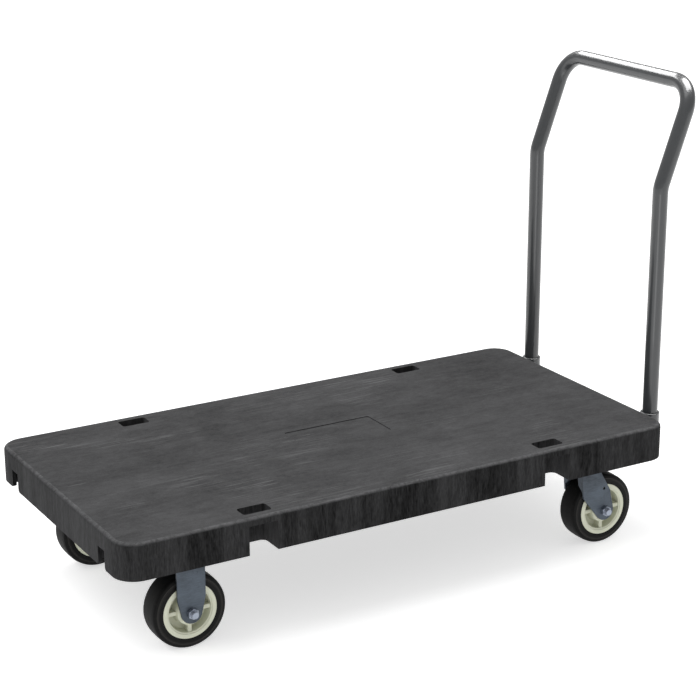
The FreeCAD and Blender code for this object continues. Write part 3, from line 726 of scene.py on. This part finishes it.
class CART_OT_stage(CartOperator):
    """Sets the pale floor, the studio lights and the camera"""

    bl_idname = "cart.stage"
    bl_label = "Stage"

    def build(self, sizes):
        scene = bpy.context.scene
        scene.view_settings.view_transform = "Standard"
        reach = 60.0
        mesh = bpy.data.meshes.new("studio_floor")
        corners = [(-reach, -reach, 0), (reach, -reach, 0), (reach, reach, 0), (-reach, reach, 0)]
        mesh.from_pydata(corners, [], [(0, 1, 2, 3)])
        mesh.materials.append(studio_paper(scene.cart_colours))
        floor = bpy.data.objects.new("studio_floor", mesh)
        scene.collection.objects.link(floor)

        world = bpy.data.worlds.new("studio")
        scene.world = world
        world.use_nodes = True
        sky = Graph(world.node_tree)
        glow = sky.node("ShaderNodeBackground", None, {"Color": (1, 1, 1, 1), "Strength": 0.6})
        sky.node("ShaderNodeOutputWorld", None, {"Surface": glow})

        sun = bpy.data.lights.new("overhead", "SUN")
        sun.energy = 1.3
        sun.angle = math.radians(50)
        self.hang(sun, (-2.0, 0.6, 5.0), (0, 0, 0.3))
        self.softbox("back", (0.3, 4.2, 4.6), (0.6, 0, 0.9), (5.0, 1.5), 300)
        self.softbox("top", (1.5, -0.2, 4.3), (0.7, -0.2, 0.9), (2.6, 4.2), 520)
        self.softbox("strip", (-0.17, -1.15, 0.28), (0.576, 0, 0.28), (0.4, 0.5), 1.1)
        self.camera()

    def softbox(self, name, place, aim, size, watts):
        """A rectangular light that shows only in reflections."""
        light = bpy.data.lights.new(name, "AREA")
        light.shape = "RECTANGLE"
        light.size, light.size_y = size
        light.energy = watts
        lamp = self.hang(light, place, aim)
        lamp.visible_diffuse = False
        lamp.visible_camera = False

    def hang(self, light, place, aim):
        """Places a light so that it points at a spot."""
        lamp = bpy.data.objects.new(light.name, light)
        turn = (Vector(place) - Vector(aim)).to_track_quat("Z", "Y")
        lamp.matrix_world = Matrix.Translation(place) @ turn.to_matrix().to_4x4()
        bpy.context.scene.collection.objects.link(lamp)
        return lamp

    def camera(self):
        """The camera, level with a standing person and off the rigid end."""
        data = bpy.data.cameras.new("view")
        data.sensor_width = 36
        data.lens = 99.12
        data.clip_end = 200
        yaw, pitch, roll = -0.527436568, 0.317076712, -0.002912676
        camera = bpy.data.objects.new("view", data)
        camera.matrix_world = (
            Matrix.Translation((-1.87166, -3.1702, 1.6374))
            @ Matrix.Rotation(yaw, 4, "Z")
            @ Matrix.Rotation(math.pi / 2 - pitch, 4, "X")
            @ Matrix.Rotation(roll, 4, "Z"))
        bpy.context.scene.collection.objects.link(camera)
        bpy.context.scene.camera = camera


class CART_OT_finishes(CartOperator):
    """Gives every CAD node the finish of its slot"""

    bl_idname = "cart.finishes"
    bl_label = "Finishes"

    def build(self, sizes):
        for row in frame["record"]["subparts"]:
            mesh = frame["nodes"][row["node"]].data
            mesh.materials.clear()
            mesh.materials.append(finish_for(row["material_slot"]))


class CART_OT_tyres(CartOperator):
    """Makes the four solid tyres, with shoulder rings and a crowned tread"""

    bl_idname = "cart.tyres"
    bl_label = "Tyres"

    def build(self, sizes):
        for caster in CASTERS:
            node = caster + "_tyre"
            extent = size_of(node)
            tread, side = extent.z / 2, extent.y / 2
            rim = size_of(caster + "_wheel_core").z / 2
            groove = sizes.tyre_groove
            lower = tread - sizes.tyre_crown
            ring = rim + 0.55 * (tread - rim)
            # Each corner: radius, distance along the axle, rounding, and how far towards the tread.
            half = [
                (rim, TYRE_SEAT_HALF, 0, 0),
                (rim, side - RIM_STANDS_IN, 0.6 * MM, 0),
                (rim + 2.2 * MM, side, 0.8 * MM, 0.05),
                (ring - 1.6 * groove, side, 0.5 * MM, 0.15),
                (ring - 0.6 * groove, side - groove, 0.3 * MM, 0.2),
                (ring + 0.6 * groove, side - groove, 0.3 * MM, 0.2),
                (ring + 1.6 * groove, side - 0.3 * MM, 0.5 * MM, 0.25),
                (lower - 1.0 * MM, side - 2.4 * MM, 7.0 * MM, 0.6),
                (lower, side - 9.0 * MM, 4.0 * MM, 0.9),
                (tread, 1.2 * MM, 6.0 * MM, 1.0),
            ]
            key_half = 11.0 * MM
            key_floor = rim - TYRE_KEY_DEPTH
            corners = mirrored(half) + [(key_floor, -key_half, 0, 0), (key_floor, key_half, 0, 0)]
            bm = bmesh.new()
            add_turned(bm, rounded(corners, 0.5 * MM, 5), middle_of(node), TYRE_STEPS)
            piece_from(caster + "_tyre_detail", bm, "tyre_rubber", WHEEL_BODY[caster], [node],
                       sharp_degrees=40)


class CART_OT_wheel_cores(CartOperator):
    """Makes the four moulded wheel cores, with soft edges, a stepped rim face and ribs"""

    bl_idname = "cart.wheel_cores"
    bl_label = "Wheel cores"

    def build(self, sizes):
        for caster in CASTERS:
            node = caster + "_wheel_core"
            extent = size_of(node)
            rim, hub = extent.z / 2, extent.y / 2
            face = size_of(caster + "_tyre").y / 2 - RIM_STANDS_IN
            soft = sizes.core_round
            web, step_in = 6.0 * MM, face - 1.6 * MM
            # Each corner: radius, distance along the axle, rounding, and how deep it lies.
            half = [
                (CORE_BORE, hub, 0.5 * MM, 0.3),
                (22.5 * MM, hub, 0.8 * MM, 0.3),
                (23.1 * MM, hub - 1.2 * MM, 0.4 * MM, 0.35),
                (26.0 * MM, hub - 1.2 * MM, soft, 0.35),
                (29.0 * MM, web, 2.6 * MM, 1.0),
                (41.0 * MM, web, 3.0 * MM, 1.0),
                (43.0 * MM, step_in, 0.5 * MM, 0.45),
                (45.6 * MM, step_in, 0.5 * MM, 0.3),
                (46.2 * MM, face, soft, 0),
                (rim, face, soft, 0),
                (rim, face - 6.2 * MM, 0.2 * MM, 0),
                (rim - TYRE_KEY_DEPTH, face - 10.2 * MM, 0.2 * MM, 0),
            ]
            bm = bmesh.new()
            centre = middle_of(node)
            add_turned(bm, rounded(mirrored(half), soft, 4), centre, CORE_STEPS)
            for quarter in range(4):
                self.add_rib(bm, centre, math.pi / 2 * quarter, half_depth=face - 4.0 * MM,
                             width=10.0 * MM, inner=25.0 * MM, outer=43.0 * MM)
            piece_from(caster + "_core_detail", bm, "core_plastic", WHEEL_BODY[caster], [node])

    def add_rib(self, bm, centre, angle, half_depth, width, inner, outer):
        """Adds one rib from hub to rim, narrower at its faces than at the web, with round edges."""
        wrap = bm.loops.layers.uv.get("wrap")
        place = Matrix.Translation(centre) @ Matrix.Rotation(-angle, 4, "Y")
        at_face, at_web = width * 0.42, width * 0.56
        section = [(-half_depth, -at_face), (0, -at_web), (half_depth, -at_face),
                   (half_depth, at_face), (0, at_web), (-half_depth, at_face)]
        rib = bmesh.new()
        near, far = [[rib.verts.new(place @ Vector((radius, *point))) for point in section]
                     for radius in (inner, outer)]
        for here in range(6):
            after = (here + 1) % 6
            rib.faces.new((near[here], near[after], far[after], far[here]))
        rib.faces.new(near)
        rib.faces.new(far[::-1])
        long_edges = [edge for edge in rib.edges if edge.calc_length() > (outer - inner) * 0.9]
        bmesh.ops.bevel(rib, geom=long_edges, offset=1.3 * MM, segments=3, profile=0.5, affect="EDGES")
        bmesh.ops.recalc_face_normals(rib, faces=rib.faces)
        copies = {vert: bm.verts.new(vert.co) for vert in rib.verts}
        for face in rib.faces:
            made = bm.faces.new([copies[vert] for vert in face.verts])
            for loop in made.loops:
                loop[wrap].uv = (0, 0.5)
        rib.free()


class CART_OT_axle_nuts(CartOperator):
    """Makes the axle lock nuts: chamfered hexagons with a round collar"""

    bl_idname = "cart.axle_nuts"
    bl_label = "Axle nuts"

    def build(self, sizes):
        bore = AXLE_NUT_BORE
        for caster in CASTERS:
            node = caster + "_axle_nut"
            low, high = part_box(node)
            middle = middle_of(node)
            outward = 1 if caster.endswith("left") else -1
            seat = Vector((middle.x, low.y if outward > 0 else high.y, middle.z))
            flats = min(high.x - low.x, high.z - low.z)
            top = high.y - low.y
            shoulder = 0.72 * top
            collar = flats * 0.435
            rings = [circle_ring(bore, 0), *hexagon_rings(flats, 0, shoulder),
                     circle_ring(collar, shoulder), circle_ring(collar, top - 1.2 * MM),
                     circle_ring(collar - 0.5 * MM, top - 0.4 * MM),
                     circle_ring(collar - 1.4 * MM, top), circle_ring(bore + 1.0 * MM, top),
                     circle_ring(bore, top - 1.0 * MM)]
            bm = bmesh.new()
            add_loft(bm, rings, along_axis(seat, (0, outward, 0)))
            piece_from(caster + "_nut_detail", bm, "zinc_fasteners", fork_body(caster), [node],
                       sharp_degrees=24)


class CART_OT_axle_threads(CartOperator):
    """Winds the thread on the free end of each axle bolt"""

    bl_idname = "cart.axle_threads"
    bl_label = "Axle threads"

    def build(self, sizes):
        for caster in CASTERS:
            low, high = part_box(caster + "_axle_bolt")
            nut_low, nut_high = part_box(caster + "_axle_nut")
            outward = 1 if caster.endswith("left") else -1
            start, end = (nut_high.y, high.y) if outward > 0 else (nut_low.y, low.y)
            middle = middle_of(caster + "_axle_nut")
            length = abs(end - start) - 0.6 * MM
            recipe = thread_recipe(AXLE_RADIUS, length, sizes.thread_pitch, sizes.thread_depth)
            mesh = recipe.cook(bpy.data.meshes.new("thread_seed"), "zinc_fasteners")
            mesh.transform(along_axis(Vector((middle.x, start, middle.z)), (0, outward, 0)))
            piece_of(caster + "_axle_thread", mesh, "zinc_fasteners", fork_body(caster),
                     sharp_degrees=60)


class CART_OT_caster_bolts(CartOperator):
    """Sets chamfered bolts and round-edged washers at all sixteen bolt places"""

    bl_idname = "cart.caster_bolts"
    bl_label = "Caster bolts"

    def build(self, sizes):
        bolts_low, bolts_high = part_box("caster_bolts")
        washers_low, washers_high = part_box("caster_washers")
        middle = middle_of("caster_washers")
        reach = size_of("caster_washers")
        rigid_left, swivel_left, rigid_right = [
            middle_of(caster + "_plate") for caster in ("rigid_left", "swivel_left", "rigid_right")]
        caster_gap = (swivel_left.x - rigid_left.x, rigid_left.y - rigid_right.y)
        bolt_gap = (reach.x - 2 * WASHER_RADIUS - caster_gap[0],
                    reach.y - 2 * WASHER_RADIUS - caster_gap[1])

        head_top = washers_low.z
        head = head_top - bolts_low.z
        tip = bolts_high.z - head_top
        shank = BOLT_SHANK_RADIUS
        pole = 0.02 * MM
        rings = [circle_ring(pole, -head), *hexagon_rings(BOLT_HEAD_FLATS, -head, 0),
                 circle_ring(shank, 0), circle_ring(shank, tip - 1.0 * MM),
                 circle_ring(shank - 1.0 * MM, tip), circle_ring(pole, tip)]
        bm = bmesh.new()
        add_loft(bm, rings, Matrix.Identity(4))
        self.repeat("caster_bolts_detail", bm, "caster_bolts", (middle.x, middle.y, head_top),
                    caster_gap, bolt_gap)

        thick = washers_high.z - washers_low.z
        outline = rounded([(WASHER_BORE, 0), (WASHER_BORE, thick), (WASHER_RADIUS, thick),
                           (WASHER_RADIUS, 0)], 0.5 * MM, 3)
        bm = bmesh.new()
        add_loft(bm, [circle_ring(radius, along) for radius, along, _ in outline], Matrix.Identity(4))
        self.repeat("caster_washers_detail", bm, "caster_washers", (middle.x, middle.y, washers_low.z),
                    caster_gap, bolt_gap)

    def repeat(self, name, bm, node, middle, caster_gap, bolt_gap):
        """Sets one bolt's or washer's mesh at every place and makes it a piece."""
        bmesh.ops.recalc_face_normals(bm, faces=bm.faces)
        one = bpy.data.meshes.new(name)
        bm.to_mesh(one)
        bm.free()
        made = pattern_recipe(name, middle, caster_gap, bolt_gap).cook(one, "zinc_fasteners")
        piece_of(name, made, "zinc_fasteners", "root", [node], sharp_degrees=24)


class CART_OT_kingpin_nuts(CartOperator):
    """Makes the chamfered nut under each swivel head"""

    bl_idname = "cart.kingpin_nuts"
    bl_label = "Kingpin nuts"

    def build(self, sizes):
        bore = KINGPIN_NUT_BORE
        for side in SIDES:
            node = "swivel_" + side + "_kingpin_nut"
            middle = middle_of(node)
            extent = size_of(node)
            flats, top = min(extent.x, extent.y), extent.z
            rings = [circle_ring(bore, 0), *hexagon_rings(flats, 0, top),
                     circle_ring(bore + 0.8 * MM, top), circle_ring(bore, top - 0.8 * MM)]
            bm = bmesh.new()
            seat = (middle.x, middle.y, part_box(node)[0].z)
            add_loft(bm, rings, Matrix.Translation(seat))
            piece_from(node + "_detail", bm, "zinc_fasteners", "root", [node], sharp_degrees=24)


class CART_OT_weld_beads(CartOperator):
    """Lays the weld beads: rigid forks to plates, and rails to handle sockets"""

    bl_idname = "cart.weld_beads"
    bl_label = "Weld beads"

    def build(self, sizes):
        recipe = bead_recipe()
        fork_paths, rail_paths = [], []
        for side in SIDES:
            low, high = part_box("rigid_" + side + "_fork")
            middle = (low.y + high.y) / 2
            half = (high.y - low.y) / 2 - 9.0 * MM
            for x in (low.x, high.x):
                fork_paths.append([(x, middle - half, high.z), (x, middle + half, high.z)])

            low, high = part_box("rail_" + side)
            socket = middle_of("handle_socket_" + side)
            radius = size_of("handle_socket_" + side).x / 2
            half = (high.y - low.y) / 2
            back = socket.x - math.sqrt(radius ** 2 - half ** 2)
            for y in (socket.y + half, socket.y - half):
                rail_paths.append([(back, y, low.z + 3.0 * MM), (back, y, high.z - 3.0 * MM)])
            reach = math.asin(half / radius) * 0.85
            angles = [-reach + 2 * reach * step / 8 for step in range(9)]
            rail_paths.append([
                (socket.x - radius * math.cos(angle), socket.y + radius * math.sin(angle), high.z)
                for angle in angles])
        self.lay("fork_welds", recipe, fork_paths, "fork_steel")
        self.lay("rail_welds", recipe, rail_paths, "rail_paint")

    def lay(self, name, recipe, paths, slot):
        """Runs the weld tree along paths and makes one piece that rides on the root body."""
        points, edges = [], []
        for path in paths:
            edges += [(len(points) + k, len(points) + k + 1) for k in range(len(path) - 1)]
            points += path
        mesh = bpy.data.meshes.new(name)
        mesh.from_pydata(points, edges, [])
        piece_of(name, recipe.cook(mesh, slot), slot, "root", sharp_degrees=60)


OPERATORS = (
    CART_OT_stage,
    CART_OT_finishes,
    CART_OT_tyres,
    CART_OT_wheel_cores,
    CART_OT_axle_nuts,
    CART_OT_axle_threads,
    CART_OT_caster_bolts,
    CART_OT_kingpin_nuts,
    CART_OT_weld_beads,
)


class CART_PT_panel(bpy.types.Panel):
    """Lists the cart's colours, sizes and steps in the sidebar"""

    bl_idname = "CART_PT_panel"
    bl_label = "Platform cart"
    bl_space_type = "VIEW_3D"
    bl_region_type = "UI"
    bl_category = "Cart"

    def draw(self, context):
        for group in (context.scene.cart_colours, context.scene.cart_sizes):
            for name in group.bl_rna.properties.keys():
                if name not in ("rna_type", "name"):
                    self.layout.prop(group, name)
        for step in OPERATORS:
            self.layout.operator(step.bl_idname)


CLASSES = (CartColours, CartSizes, *OPERATORS, CART_PT_panel)


def register():
    """Adds the classes and the scene's properties."""
    for made in CLASSES:
        bpy.utils.register_class(made)
    bpy.types.Scene.cart_colours = bpy.props.PointerProperty(type=CartColours)
    bpy.types.Scene.cart_sizes = bpy.props.PointerProperty(type=CartSizes)


def unregister():
    """Takes them away again."""
    del bpy.types.Scene.cart_sizes
    del bpy.types.Scene.cart_colours
    for made in reversed(CLASSES):
        bpy.utils.unregister_class(made)


def main():
    register()
    for step in OPERATORS:
        group, name = step.bl_idname.split(".")
        getattr(getattr(bpy.ops, group), name)()


if __name__ == "__main__":
    main()
